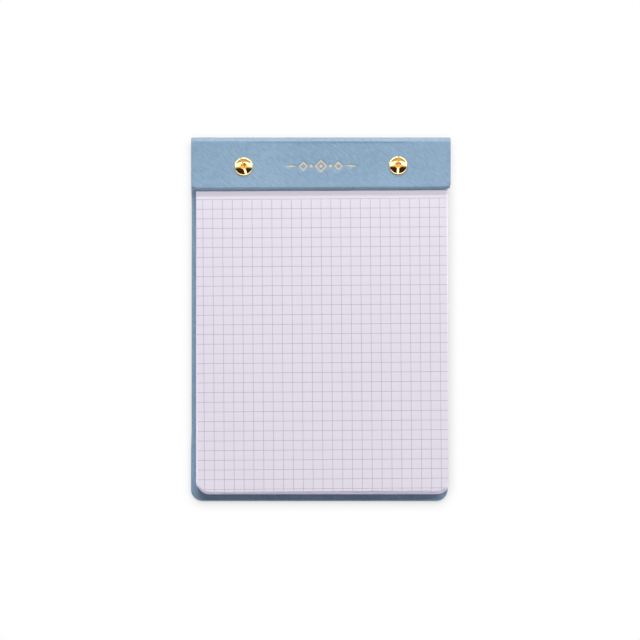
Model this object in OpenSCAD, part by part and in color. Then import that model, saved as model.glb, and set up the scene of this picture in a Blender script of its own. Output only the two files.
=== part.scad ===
// Top-bound memo pad: a wrapped board cover folded over a block of squared sheets
// and held by two binding screws. Millimetres, lying on its back, spine towards +Y.

/* [Sheets] */
// Width of a sheet
page_w = 127; // [90:1:160]
// Length of a sheet
page_l = 177.8; // [120:0.2:240]
// Thickness of the block where the flap clamps it
block_t = 6.4; // [3:0.2:20]
// How much higher the block stands at its free end
block_rise = 2.2; // [0.4:0.2:5]
// Length over which the block rises from the edge of the flap
rise_l = 60; // [30:1:90]
// Radius of the two free corners of the sheets
page_corner_r = 5.5; // [2:0.5:12]
// Radius of the holes punched in the sheets
punch_r = 3; // [2.8:0.1:4]

/* [Cover] */
// Thickness of the greyboards
board_t = 1.6; // [1.2:0.1:3]
// Thickness of the leatherette
leather_t = 0.5; // [0.3:0.05:0.6]
// Thickness of the lining paper
lining_t = 0.2; // [0.1:0.05:0.4]
// Radius of the rolled edges of the panels
edge_r = 1.1; // [0.6:0.05:1.2]
// Radius of the two free corners of the back panel
back_corner_r = 6; // [2:0.5:12]
// Radius of the two free corners of the flap
flap_corner_r = 3.5; // [2:0.5:10]
// Depth of the flap, from the outer face of the spine
flap_l = 27.6; // [22:0.1:40]
// Width of the bevel along the free edge of the flap
flap_bevel = 1.7; // [0.6:0.1:2.2]
// Slope of that bevel, in degrees
flap_bevel_turn = 40; // [20:1:44]
// How far the leatherette is turned in over the boards
turn_in = 12; // [8:0.5:14]
// Border between the edge of a panel and the lining
lining_border = 4.5; // [3:0.5:7]

/* [Margins] */
// Back panel past the sheets at the left
margin_left = 2.35; // [0.5:0.05:8]
// Back panel past the sheets at the right
margin_right = 0.8; // [0.5:0.05:8]
// Back panel past the sheets at the free end
margin_end = 3.1; // [1:0.1:10]
// Gap between the sheets and the lined spine
spine_gap = 1.9; // [0.5:0.1:4]
// How far the flap and the spine reach past the back panel at the right
flap_past = 1.6; // [0:0.1:3]

/* [Binding screws] */
// Distance between the two screws
screw_span = 78.5; // [50:0.5:90]
// Distance of the screws from the top edge of the sheets
screw_inset = 10.4; // [9:0.1:14]
// Lean of the line through the screws, right end towards the spine, in degrees
screw_lean = 0.41; // [0:0.01:1]
// Radius of the domed head
head_r = 4.75; // [4:0.05:6]
// Height of the domed head
head_h = 2; // [1.4:0.1:3]
// Radius of the head's rounded rim
rim_r = 0.35; // [0.2:0.05:0.45]
// Width of the driver slot
slot_w = 1; // [0.6:0.1:1.4]
// Height of the flat slot floor above the underside of the head
slot_floor = 0.75; // [0.6:0.05:1]
// Turn of the left slot from the length of the pad, in degrees
slot_turn_left = 18; // [-90:1:90]
// Turn of the right slot, in degrees
slot_turn_right = -3; // [-90:1:90]
// Radius of the hollow turned in the middle of the head
dish_r = 1.65; // [1:0.05:2.2]
// Radius of the hollow's own curve
dish_curve_r = 9.2; // [7:0.1:20]
// Radius of the rear post's tube
post_r = 2.5; // [2.3:0.05:2.6]
// Radius of the threaded shank
shank_r = 1.7; // [1.4:0.05:1.8]
// Radius of the rear post's flat head
foot_r = 4.75; // [4:0.05:6]
// Thickness of the rear post's flat head
foot_t = 1; // [0.6:0.1:1.1]

/* [Foil ornament] */
// Half height of the middle lozenge
lozenge_mid = 3.2; // [2:0.1:4]
// Half height of the outer lozenges
lozenge_side = 2.3; // [1.4:0.1:3.4]
// Half height of the small solid lozenges
lozenge_small = 0.95; // [0.5:0.05:1.2]
// Width of a foil line
foil_line = 0.6; // [0.4:0.05:0.8]
// Length of each end rule
rule_l = 6.8; // [4:0.2:12]
// Space between neighbouring shapes of the ornament
foil_space = 0.75; // [0.4:0.05:2]
// Depth of the pressed shapes in the leatherette
press_d = 0.16; // [0.1:0.02:0.22]
// Thickness of the foil
foil_t = 0.06; // [0.04:0.01:0.08]

/* [Hidden] */
$fn = 96;

// Clearances
post_gap = 0.2;    // round a post's tube in the cover
foot_gap = 0.1;    // round a post's flat head in its pocket
thread_gap = 0.1;  // round the shank in the post
foil_gap = 0.05;   // round the foil in its pressed shape
thread_end = 1;    // solid metal between the end of the threaded hole and the foot
shank_end = 2;     // empty thread below the end of the shank
post_short = 1.1;  // from the end of the post's tube to the top of the flap
slot_past = 1;     // of the slot's cut past the head
rule_swell = 0.15; // of an end rule's middle past half a foil line

// Panels and the fold between them
panel_t = board_t + 2 * leather_t;
fold_in = lining_t;
fold_out = fold_in + panel_t;
back_w = page_w + margin_left + margin_right;
cover_w = back_w + flap_past;
cover_l = margin_end + page_l + spine_gap + lining_t + panel_t;

// Rolled edge, held to its panel, and the set-back of a board that leaves half a skin at its corner
roll_r = min(edge_r, panel_t / 2 - 0.1);
board_in = max(leather_t, roll_r - sqrt((roll_r - leather_t / 2) ^ 2 - (roll_r - leather_t) ^ 2));

// Levels, measured up from the back face
page_z = panel_t + lining_t;
flap_low = page_z + block_t + lining_t;
flap_top = flap_low + panel_t;
page_end_z = page_z + block_t + block_rise;

// Places across and along the pad
x_left = -cover_w / 2;
x_right = cover_w / 2;
x_back = x_right - flap_past;
y_spine = cover_l / 2;
y_end = -cover_l / 2;
y_fold = y_spine - fold_out;
y_flap = y_spine - flap_l;
page_x = x_left + margin_left;
page_y = y_end + margin_end;
page_top = page_y + page_l;
screw_y = page_top - screw_inset;

// Dome of the head, tangent to its rounded rim
rim_x = head_r - rim_r;
dome_k = head_h - rim_r;
dome_r = (rim_x ^ 2 + dome_k ^ 2 - rim_r ^ 2) / (2 * (dome_k - rim_r));
dome_x = rim_x * dome_r / (dome_r - rim_r);
dome_at_dish = head_h - dome_r + sqrt(dome_r ^ 2 - dish_r ^ 2);
dish_z = dome_at_dish + sqrt(dish_curve_r ^ 2 - dish_r ^ 2);

// Ornament: centres of its shapes, from the middle outwards
small_at = lozenge_mid + foil_space + lozenge_small;
side_at = small_at + lozenge_small + foil_space + lozenge_side;
rule_at = side_at + lozenge_side + foil_space;
rule_half = foil_line / 2 + rule_swell;

// Curve of the block's upper side
rise_steps = 24;

leather_blue = "#8FADC6";
lining_blue = "#7E9AB4";
board_grey = "#A89F92";
paper_white = "#E6E1EA";
gold = "#D9AA4E";
foil_gold = "#F2DDB8";

function screw_place(side) = [
    side * screw_span / 2,
    screw_y + side * screw_span / 2 * tan(screw_lean)
];

// Height of the block's upper side at a distance from the flap
function block_z(d) = page_z + block_t + block_rise * sin(90 * d / rise_l);

// Section across a panel, both long edges rolled
module rolled_section(w, t) {
    translate([roll_r, 0]) square([w - 2 * roll_r, t]);
    translate([0, roll_r]) square([w, t - 2 * roll_r]);
    for (x = [roll_r, w - roll_r], y = [roll_r, t - roll_r]) translate([x, y]) circle(roll_r);
}

// Section from inside a panel out to its rolled edge
module rolled_half(w, t) {
    square([w - roll_r, t]);
    translate([0, roll_r]) square([w, t - 2 * roll_r]);
    for (y = [roll_r, t - roll_r]) translate([w - roll_r, y]) circle(roll_r);
}

// Panel with a rolled rim and two round corners at its free end
module rolled_panel(x0, x1, y0, y1, corner_r) {
    inner_y = y0 + corner_r;
    translate([x0, y1, 0]) rotate([90, 0, 0])
        linear_extrude(y1 - inner_y) rolled_section(x1 - x0, panel_t);
    translate([x1 - corner_r, inner_y, 0]) rotate([90, 0, -90])
        linear_extrude(x1 - x0 - 2 * corner_r) rolled_half(corner_r, panel_t);
    translate([x1 - corner_r, inner_y, 0]) rotate([0, 0, -90])
        rotate_extrude(angle = 90) rolled_half(corner_r, panel_t);
    translate([x0 + corner_r, inner_y, 0]) rotate([0, 0, 180])
        rotate_extrude(angle = 90) rolled_half(corner_r, panel_t);
}

// Flat plate with two round corners at its free end
module plain_panel(x0, x1, y0, y1, corner_r, t) {
    linear_extrude(t) {
        translate([x0 + corner_r, y0]) square([x1 - x0 - 2 * corner_r, y1 - y0]);
        translate([x0, y0 + corner_r]) square([x1 - x0, y1 - y0 - corner_r]);
        for (x = [x0 + corner_r, x1 - corner_r]) translate([x, y0 + corner_r]) circle(corner_r);
    }
}

// Space over the bevel of the flap, sunk square to the bevel by a depth
module over_bevel(depth) {
    reach = 2 * panel_t;
    translate([x_left, y_flap + flap_bevel, flap_top]) rotate([90, 0, 90])
        linear_extrude(cover_w) rotate(flap_bevel_turn) translate([-reach, -depth])
            square([2 * reach, reach + depth]);
}

// Places a child made round the Z axis at the lower or the upper fold
module at_fold(upper) {
    translate([x_left, y_fold, upper ? flap_top - fold_out : fold_out])
        rotate([0, 90, 0]) rotate([0, 0, upper ? 90 : 0]) children();
}

// Quarter turn at a fold, between two radii, set in from each side of the panel that it joins
module fold_ring(upper, r_in, r_out, inset) {
    width = upper ? cover_w : back_w;
    at_fold(upper) rotate_extrude(angle = 90)
        translate([r_in, inset]) square([r_out - r_in, width - 2 * inset]);
}

// Outer form of the whole cover
module cover_form() {
    rolled_panel(x_left, x_back, y_end, y_fold, back_corner_r);
    difference() {
        translate([0, 0, flap_low]) rolled_panel(x_left, x_right, y_flap, y_fold, flap_corner_r);
        over_bevel(0);
    }
    translate([x_left, y_spine - panel_t, fold_out])
        linear_extrude(flap_top - 2 * fold_out) rolled_section(cover_w, panel_t);
    for (upper = [false, true]) {
        at_fold(upper) rotate_extrude(angle = 90)
            translate([fold_out, 0]) rotate(90) rolled_section(cover_w, panel_t);
    }
}

// Sheet on the inside of the cover: from the panels' inner faces down into the boards' side
module inner_sheet(inset, depth, height) {
    thick = depth + height;
    translate([x_left + inset, y_end + inset, panel_t - depth])
        cube([back_w - 2 * inset, y_fold - y_end - inset, thick]);
    translate([x_left + inset, y_flap + inset, flap_low - height])
        cube([cover_w - 2 * inset, y_fold - y_flap - inset, thick]);
    translate([x_left + inset, y_spine - panel_t - height, fold_out])
        cube([cover_w - 2 * inset, thick, flap_top - 2 * fold_out]);
    for (upper = [false, true]) fold_ring(upper, fold_in - height, fold_in + depth, inset);
}

module screw_holes(r, z0, z1) {
    for (side = [-1, 1]) translate([each screw_place(side), z0]) cylinder(r = r, h = z1 - z0);
}

module lozenge(half) {
    polygon([[-half, 0], [0, -half], [half, 0], [0, half]]);
}

module lozenge_line(half, grow) {
    difference() {
        lozenge(half + grow);
        lozenge(half - foil_line * sqrt(2) - grow);
    }
}

// Foil ornament on the line between the screws
module ornament(grow) {
    lozenge_line(lozenge_mid, grow);
    lozenge(lozenge_small + grow);
    for (side = [-1, 1]) {
        translate([side * small_at, 0]) lozenge(lozenge_small + grow);
        translate([side * side_at, 0]) lozenge_line(lozenge_side, grow);
        translate([side * (rule_at + rule_l / 2), 0]) polygon([
            [-rule_l / 2 - grow, 0],
            [0, -rule_half - grow],
            [rule_l / 2 + grow, 0],
            [0, rule_half + grow]
        ]);
    }
}

module ornament_place(z) {
    translate([0, screw_y, z]) rotate(screw_lean) children();
}

module cover_wrap() {
    color(leather_blue) difference() {
        union() {
            difference() {
                cover_form();
                back_plate();
                flap_plate();
                spine_plate();
                inner_sheet(turn_in, leather_t, 0);
                for (upper = [false, true]) {
                    fold_ring(upper, fold_in + leather_t, fold_out - leather_t, board_in);
                }
            }
            // Pockets where the leatherette dips round the feet of the posts
            screw_holes(foot_r + foot_gap + leather_t, 0, foot_t + leather_t);
        }
        screw_holes(foot_r + foot_gap, 0, foot_t);
        screw_holes(post_r + post_gap, 0, flap_top);
        ornament_place(flap_top - press_d) linear_extrude(press_d) ornament(foil_gap);
    }
}

// The three boards as cut, before their holes
module back_plate() {
    translate([0, 0, leather_t]) plain_panel(
        x_left + board_in, x_back - board_in, y_end + board_in, y_fold,
        back_corner_r - board_in, board_t
    );
}

module flap_plate() {
    difference() {
        translate([0, 0, flap_low + leather_t]) plain_panel(
            x_left + board_in, x_right - board_in, y_flap + board_in, y_fold,
            flap_corner_r - board_in, board_t
        );
        over_bevel(leather_t);
    }
}

module spine_plate() {
    translate([x_left + board_in, y_spine - leather_t - board_t, fold_out])
        cube([cover_w - 2 * board_in, board_t, flap_top - 2 * fold_out]);
}

module cover_lining() {
    color(lining_blue) difference() {
        union() {
            inner_sheet(turn_in, leather_t, lining_t);
            inner_sheet(lining_border, 0, lining_t);
        }
        screw_holes(post_r + post_gap, 0, flap_top);
    }
}

module back_board() {
    color(board_grey) difference() {
        back_plate();
        screw_holes(foot_r + foot_gap + leather_t, 0, foot_t + leather_t);
        screw_holes(post_r + post_gap, 0, panel_t);
    }
}

module spine_board() {
    color(board_grey) spine_plate();
}

module flap_board() {
    color(board_grey) difference() {
        flap_plate();
        screw_holes(post_r + post_gap, flap_low, flap_top);
    }
}

module page_block() {
    curve = [
        for (i = [0:rise_steps]) let (d = rise_l * i / rise_steps) [y_flap - d, block_z(d)]
    ];
    color(paper_white) difference() {
        intersection() {
            translate([page_x, 0, 0]) rotate([90, 0, 90]) linear_extrude(page_w) polygon([
                [page_y, page_z],
                [page_top, page_z],
                [page_top, page_z + block_t],
                each curve,
                [page_y, page_end_z]
            ]);
            plain_panel(page_x, page_x + page_w, page_y, page_top, page_corner_r, page_end_z);
        }
        screw_holes(punch_r, 0, flap_top);
    }
}

// Rear half of a binding screw: flat foot and threaded tube
module post(side) {
    tube_top = flap_top - post_short;
    color(gold) translate([each screw_place(side), 0]) difference() {
        union() {
            cylinder(r = foot_r, h = foot_t);
            cylinder(r = post_r, h = tube_top);
        }
        translate([0, 0, foot_t + thread_end])
            cylinder(r = shank_r + thread_gap, h = tube_top - foot_t - thread_end);
    }
}

// Half section of the domed head, axis at the left
module head_section() {
    intersection() {
        translate([0, head_h - dome_r]) circle(dome_r);
        translate([0, rim_r]) square([dome_x, head_h]);
    }
    square([rim_x, rim_r]);
    intersection() {
        translate([rim_x, rim_r]) circle(rim_r);
        translate([rim_x, 0]) square([rim_r, 2 * rim_r]);
    }
}

// Front half of a binding screw: domed head with slot and hollow, and shank
module screw(side, slot_turn) {
    shank_l = flap_top - foot_t - thread_end - shank_end;
    color(gold) translate([each screw_place(side), flap_top]) {
        difference() {
            rotate_extrude() head_section();
            translate([0, 0, dish_z]) sphere(dish_curve_r);
            rotate(slot_turn) translate([-slot_w / 2, -head_r - slot_past, slot_floor])
                cube([slot_w, 2 * (head_r + slot_past), head_h]);
        }
        translate([0, 0, -shank_l]) cylinder(r = shank_r, h = shank_l);
    }
}

module foil_ornament() {
    color(foil_gold) ornament_place(flap_top - press_d) linear_extrude(foil_t) ornament(0);
}

cover_wrap();
cover_lining();
back_board();
spine_board();
flap_board();
page_block();
post(-1);  // post_left
post(1);  // post_right
screw(-1, slot_turn_left);  // screw_left
screw(1, slot_turn_right);  // screw_right
foil_ornament();
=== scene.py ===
import math
import random

import bmesh
import bpy
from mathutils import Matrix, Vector


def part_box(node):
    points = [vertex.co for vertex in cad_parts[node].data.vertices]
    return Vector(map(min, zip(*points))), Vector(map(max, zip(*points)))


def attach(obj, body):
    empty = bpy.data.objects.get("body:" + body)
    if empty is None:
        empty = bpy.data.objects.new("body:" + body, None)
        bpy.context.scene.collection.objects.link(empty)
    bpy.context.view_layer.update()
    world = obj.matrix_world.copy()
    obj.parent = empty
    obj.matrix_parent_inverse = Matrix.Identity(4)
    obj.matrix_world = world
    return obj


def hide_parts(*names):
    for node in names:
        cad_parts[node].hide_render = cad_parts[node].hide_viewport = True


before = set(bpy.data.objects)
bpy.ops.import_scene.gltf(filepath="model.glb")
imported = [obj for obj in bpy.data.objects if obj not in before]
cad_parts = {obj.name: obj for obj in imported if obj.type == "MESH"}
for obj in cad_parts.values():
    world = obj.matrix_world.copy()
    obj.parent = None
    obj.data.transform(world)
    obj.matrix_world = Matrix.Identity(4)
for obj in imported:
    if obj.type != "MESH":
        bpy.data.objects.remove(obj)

print("memo pad: the packed model is loaded")

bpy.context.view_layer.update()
mm = 0.001
hair = 0.01 * mm  # places nearer than this count as one
random.seed(7)

coverLow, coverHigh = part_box("cover_wrap")
pageLow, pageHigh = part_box("page_block")
foilLow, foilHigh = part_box("foil_ornament")
flapTop = coverHigh.z
screwY = (foilLow.y + foilHigh.y) / 2


# Small helpers, used all through

def toLinear(code):
    parts = [int(code[i:i + 2], 16) / 255 for i in (1, 3, 5)]
    return tuple(c / 12.92 if c <= 0.04045 else ((c + 0.055) / 1.055) ** 2.4 for c in parts)


def colour(code):
    return (*toLinear(code), 1.0)


def clearSelection():
    if bpy.context.object and bpy.context.object.mode != "OBJECT":
        bpy.ops.object.mode_set(mode="OBJECT")
    bpy.ops.object.select_all(action="DESELECT")


def activate(piece):
    clearSelection()
    piece.select_set(True)
    bpy.context.view_layer.objects.active = piece


def startShape(name):
    # the primitive that was just added becomes a named piece, placed in its mesh
    piece = bpy.context.object
    piece.name = name
    piece.data.name = name
    bpy.ops.object.transform_apply(location=True, rotation=True, scale=True)
    return piece


def openMesh(piece):
    activate(piece)
    bpy.ops.object.mode_set(mode="EDIT")


def closeMesh():
    bpy.ops.object.mode_set(mode="OBJECT")


def pick(piece, kind, test):
    # selects the vertices, edges or faces that pass the test
    bpy.ops.mesh.select_mode(type=kind)
    bpy.ops.mesh.select_all(action="DESELECT")
    shape = bmesh.from_edit_mesh(piece.data)
    shape.normal_update()
    parts = {"VERT": shape.verts, "EDGE": shape.edges, "FACE": shape.faces}[kind]
    for part in parts:
        if test(part):
            part.select_set(True)
    shape.select_flush_mode()
    bmesh.update_edit_mesh(piece.data)


def extrude(x, y, z):
    bpy.ops.mesh.extrude_region_move(TRANSFORM_OT_translate={"value": (x, y, z)})


def cutAt(place, direction):
    # a cut right across what is selected, which stays selected
    bpy.ops.mesh.bisect(plane_co=place, plane_no=direction)


def cutAll(place, direction):
    bpy.ops.mesh.select_all(action="SELECT")
    cutAt(place, direction)


def cutSeries(start, axis, series):
    # a series of cuts: distance of the first from the start, step and number, in mm
    first, step, count = series
    for i in range(count):
        cutAll(axis * (start + (first + i * step) * mm), axis)


def turnOutwards():
    bpy.ops.mesh.select_all(action="SELECT")
    bpy.ops.mesh.normals_make_consistent(inside=False)


def joinAll(pieces):
    activate(pieces[0])
    for other in pieces[1:]:
        other.select_set(True)
    bpy.ops.object.join()
    return pieces[0]


def useModifier(piece, kind, **settings):
    activate(piece)
    modifier = piece.modifiers.new(kind.title(), kind)
    for name, value in settings.items():
        setattr(modifier, name, value)
    bpy.ops.object.modifier_apply(modifier=modifier.name)


def cutWith(piece, cutter, way="DIFFERENCE"):
    useModifier(piece, "BOOLEAN", operation=way, solver="EXACT", object=cutter)
    bpy.data.objects.remove(cutter)


def smoothBy(piece, angle):
    activate(piece)
    bpy.ops.object.shade_smooth_by_angle(angle=math.radians(angle))


def dress(piece, material):
    piece.data.materials.clear()
    piece.data.materials.append(material)


def ease(t):
    t = min(max(t, 0), 1)
    return t * t * (3 - 2 * t)


# Materials

def newMaterial(name):
    material = bpy.data.materials.new(name)
    material.use_nodes = True
    tree = material.node_tree
    tree.nodes.clear()
    return material, tree


def addNode(tree, kind, settings=None, links=None):
    # a link comes from an output, or from a node, which then gives its first one
    node = tree.nodes.new("ShaderNode" + kind)
    for key, value in (settings or {}).items():
        if isinstance(key, int) or key in node.inputs:
            node.inputs[key].default_value = value
        else:
            setattr(node, key, value)
    for key, source in (links or {}).items():
        isNode = isinstance(source, bpy.types.Node)
        tree.links.new(source.outputs[0] if isNode else source, node.inputs[key])
    return node


def newPattern(name):
    # a material whose patterns lie in the coordinates of the object itself
    material, tree = newMaterial(name)
    return material, tree, addNode(tree, "TexCoord").outputs["Object"]


def tones(first, second):
    return {"data_type": "RGBA", 6: colour(first), 7: colour(second)}


def finishMaterial(tree, shader):
    addNode(tree, "OutputMaterial", links={"Surface": shader})


def finishSurface(tree, paint, height, relief, settings, links=None):
    # a surface from its colour, its height, the strength and depth of that in mm, and the rest
    strength, depth = relief
    bump = addNode(tree, "Bump", {"Strength": strength, "Distance": depth * mm}, {"Height": height})
    shader = addNode(tree, "BsdfPrincipled", settings,
            {"Base Color": paint.outputs[2], "Normal": bump, **(links or {})})
    finishMaterial(tree, shader)


leather = {
    "base": "#8CABC4",
    "deep": "#7192B0",
    "pebble": 0.75,  # mm, size of one pebble of the grain
    "streak": 3.2,  # mm, length of the drawn-out creases
    "streakTurn": 40,  # degrees, the way that the creases lie
    "roughness": 0.44,
    "unevenness": 30,  # mm, size of the clouds in its tone
    "grain": 0.14,  # mm, depth of the grain, whose strength falls from left to right
    "grainLeft": 0.55,
    "grainRight": 0.2,
    "grainReach": 60,  # mm either side of the middle
    "foldSheen": "#F9F2EE",  # painted sheen: the colour over the fold is made greyer, standing in for the whitish gloss that the light puts there
    "foldSheenFrom": 90.3,  # mm up the pad
    "foldSheenFull": 90.7,
    "upper": "#F3F5F6",  # painted shade: the flap is made a shade darker towards the fold, standing in for how the light falls on it
    "upperFrom": 68,
    "upperFull": 86,
}


def makeLeatherette():
    # polyurethane leatherette on cloth, embossed: a soft sheen broken up by fine slanting creases, with a
    # painted sheen over the fold and painted shade towards it
    material, tree, place = newPattern("embossedLeatherette")
    turned = addNode(tree, "Mapping", {"Rotation": (0, 0, math.radians(leather["streakTurn"]))},
            {"Vector": place})
    stretched = addNode(tree, "Mapping", {"Scale": (leather["pebble"] / leather["streak"], 1, 1)},
            {"Vector": turned})
    creases = addNode(tree, "TexNoise", {"Scale": 1 / (leather["pebble"] * mm), "Detail": 3.0,
            "Roughness": 0.55, "Distortion": 0.5}, {"Vector": stretched})
    pebbles = addNode(tree, "TexVoronoi",
            {"feature": "SMOOTH_F1", "Scale": 1.4 / (leather["pebble"] * mm), "Smoothness": 0.6},
            {"Vector": place})
    clouds = addNode(tree, "TexNoise", {"Scale": 1 / (leather["unevenness"] * mm)}, {"Vector": place})
    height = addNode(tree, "Math", {"operation": "MULTIPLY_ADD", 1: 0.5},
            {0: pebbles.outputs["Distance"], 2: creases.outputs["Fac"]})
    tone = addNode(tree, "Math", {"operation": "MULTIPLY_ADD", 1: 0.35},
            {0: clouds.outputs["Fac"], 2: creases.outputs["Fac"]})
    ramp = addNode(tree, "MapRange", {"From Min": 0.42, "From Max": 0.9}, {"Value": tone})
    grained = addNode(tree, "Mix", tones(leather["deep"], leather["base"]), {0: ramp})
    axes = addNode(tree, "SeparateXYZ", links={0: place})
    # painted shade: the leatherette darkens towards the fold
    upperShading = addNode(tree, "MapRange",
            {"From Min": leather["upperFrom"] * mm, "From Max": leather["upperFull"] * mm},
            {"Value": axes.outputs["Y"]})
    flap = addNode(tree, "Mix",
            {"data_type": "RGBA", "blend_type": "MULTIPLY", 7: colour(leather["upper"])},
            {0: upperShading, 6: grained.outputs[2]})
    # painted sheen: a greyer tone over the fold and past it
    overFold = addNode(tree, "MapRange",
            {"From Min": leather["foldSheenFrom"] * mm, "From Max": leather["foldSheenFull"] * mm},
            {"Value": axes.outputs["Y"]})
    paint = addNode(tree, "Mix",
            {"data_type": "RGBA", "blend_type": "MULTIPLY", 7: colour(leather["foldSheen"])},
            {0: overFold, 6: flap.outputs[2]})
    dull = addNode(tree, "MapRange",
            {"From Min": 0.3, "From Max": 0.7, "To Min": leather["roughness"] - 0.06,
            "To Max": leather["roughness"] + 0.1}, {"Value": creases.outputs["Fac"]})
    worn = addNode(tree, "MapRange",
            {"From Min": -leather["grainReach"] * mm, "From Max": leather["grainReach"] * mm,
            "To Min": leather["grainLeft"], "To Max": leather["grainRight"]},
            {"Value": axes.outputs["X"]})
    bump = addNode(tree, "Bump", {"Distance": leather["grain"] * mm},
            {"Height": height, "Strength": worn})
    shader = addNode(tree, "BsdfPrincipled", {"IOR": 1.47, "Specular IOR Level": 0.7},
            {"Base Color": paint.outputs[2], "Roughness": dull, "Normal": bump})
    finishMaterial(tree, shader)
    return material


paper = {
    "base": "#E9E3EF",
    "shade": "#E2DCE9",
    "ink": "#A29DAE",
    "edge": "#F3EFF6",
    "edgeShade": "#E6E1EC",
    "soak": "#DAD1F4",  # painted glow: the paper gives off a faint light of its own, seen at the cut edges, standing in for light that soaks through the stack
    "edgeGlowLevel": 0.15,
    "fibre": 0.5,  # mm, length of the fibres, drawn coarse enough to show
    "lineWidth": 0.22,  # mm
    "columnPitch": 5.0,  # mm
    "rowPitch": 4.97,  # mm, the print came out a hair short
    "columns": 25,
    "rows": 31,
    "printTurn": 0.42,  # degrees, the print is a little crooked
    "firstColumn": -59.55,
    "firstRow": 61.18,
    "relief": (0.15, 0.03),  # of the fibres on a page: strength and depth in mm
    "edgeRelief": (0.2, 0.03),  # and at the cut edges
    "roughness": 0.85,
    "sheen": 0.15,  # share of the usual reflection
}


def paperFibres(tree, place):
    return addNode(tree, "TexNoise", {"Scale": 1 / (paper["fibre"] * mm), "Detail": 4.0,
            "Roughness": 0.6}, {"Vector": place})


def makePlainPaper():
    # uncoated 80 gram paper: dead matt, with a faint cloudiness and a faint painted glow of its own
    material, tree, place = newPattern("uncoatedPaper")
    fibres = paperFibres(tree, place)
    paint = addNode(tree, "Mix", tones(paper["edgeShade"], paper["edge"]), {0: fibres.outputs["Fac"]})
    # the emission is a painted glow
    finishSurface(tree, paint, fibres.outputs["Fac"], paper["edgeRelief"],
            {"Roughness": paper["roughness"], "IOR": 1.5, "Specular IOR Level": paper["sheen"],
            "Emission Color": colour(paper["soak"]), "Emission Strength": paper["edgeGlowLevel"]})
    return material


def lineMask(tree, along, start, pitch, count, width):
    # 1 on the lines of a family, 0 between them and past its first and last line
    shifted = addNode(tree, "Math", {"operation": "SUBTRACT", 1: start}, {0: along})
    steps = addNode(tree, "Math", {"operation": "DIVIDE", 1: pitch}, {0: shifted})
    nearest = addNode(tree, "Math", {"operation": "ROUND"}, {0: steps})
    offLine = addNode(tree, "Math", {"operation": "SUBTRACT"}, {0: steps, 1: nearest})
    away = addNode(tree, "Math", {"operation": "ABSOLUTE"}, {0: offLine})
    onLine = addNode(tree, "Math", {"operation": "LESS_THAN", 1: width / pitch / 2}, {0: away})
    started = addNode(tree, "Math", {"operation": "GREATER_THAN", 1: -0.5}, {0: nearest})
    notPast = addNode(tree, "Math", {"operation": "LESS_THAN", 1: count - 0.5}, {0: nearest})
    within = addNode(tree, "Math", {"operation": "MULTIPLY"}, {0: started, 1: notPast})
    return addNode(tree, "Math", {"operation": "MULTIPLY"}, {0: onLine, 1: within})


def makeSquaredPaper():
    # the same paper, printed with thin grey squares
    material, tree, place = newPattern("squaredPaper")
    fibres = paperFibres(tree, place)
    turned = addNode(tree, "Mapping", {"Rotation": (0, 0, -math.radians(paper["printTurn"]))},
            {"Vector": place})
    axes = addNode(tree, "SeparateXYZ", links={0: turned})
    width = paper["lineWidth"] * mm
    lastRow = (paper["firstRow"] - paper["rowPitch"] * (paper["rows"] - 1)) * mm
    columns = lineMask(tree, axes.outputs["X"], paper["firstColumn"] * mm, paper["columnPitch"] * mm,
            paper["columns"], width)
    rows = lineMask(tree, axes.outputs["Y"], lastRow, paper["rowPitch"] * mm, paper["rows"], width)
    below = addNode(tree, "Math", {"operation": "LESS_THAN", 1: paper["firstRow"] * mm + width / 2},
            {0: axes.outputs["Y"]})
    upright = addNode(tree, "Math", {"operation": "MULTIPLY"}, {0: columns, 1: below})
    lines = addNode(tree, "Math", {"operation": "MAXIMUM"}, {0: upright, 1: rows})
    patchy = addNode(tree, "MapRange", {"From Min": 0.3, "From Max": 0.7, "To Min": 0.75},
            {"Value": fibres.outputs["Fac"]})
    ink = addNode(tree, "Math", {"operation": "MULTIPLY"}, {0: lines, 1: patchy})
    sheet = addNode(tree, "Mix", tones(paper["shade"], paper["base"]), {0: fibres.outputs["Fac"]})
    printed = addNode(tree, "Mix", {"data_type": "RGBA", 7: colour(paper["ink"])},
            {0: ink, 6: sheet.outputs[2]})
    finishSurface(tree, printed, fibres.outputs["Fac"], paper["relief"],
            {"Roughness": paper["roughness"], "IOR": 1.5, "Specular IOR Level": paper["sheen"]})
    return material


brass = {
    "base": "#F2D8A0",
    "deep": "#E3BD78",
    "roughness": 0.1,
    "turning": 0.09,  # mm, pitch of the marks that the lathe leaves
    "stain": 1.6,  # mm
    "relief": (0.04, 0.02),  # strength and depth in mm, of the marks
    "hollow": "#C98F4A",  # painted shade: the hollow in the middle is painted a darker, redder brass, standing in for its shade and warm reflections; it is also rougher
    "hollowShadeDeep": "#A8662A",
    "hollowRoughness": 0.2,
}


def makeBrass(name, base, deep, roughness):
    # turned and polished brass: bright, warm, with faint hairlines
    material, tree, place = newPattern(name)
    hairs = addNode(tree, "TexNoise", {"Scale": 1 / (brass["turning"] * mm), "Distortion": 1.5},
            {"Vector": place})
    stains = addNode(tree, "TexNoise", {"Scale": 1 / (brass["stain"] * mm), "Detail": 3.0},
            {"Vector": place})
    patches = addNode(tree, "MapRange", {"From Min": 0.5, "From Max": 0.75, "To Max": 0.5},
            {"Value": stains.outputs["Fac"]})
    paint = addNode(tree, "Mix", tones(base, deep), {0: patches})
    dull = addNode(tree, "MapRange", {"From Min": 0.3, "From Max": 0.7, "To Min": roughness - 0.03,
            "To Max": roughness + 0.05}, {"Value": stains.outputs["Fac"]})
    finishSurface(tree, paint, hairs.outputs["Fac"], brass["relief"], {"Metallic": 1.0},
            {"Roughness": dull})
    return material


foil = {
    "base": "#C9BCA2",
    "worn": "#B7A57F",
    "roughness": 0.4,
    "speck": 0.35,  # mm
    "relief": (0.15, 0.04),
}


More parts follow.
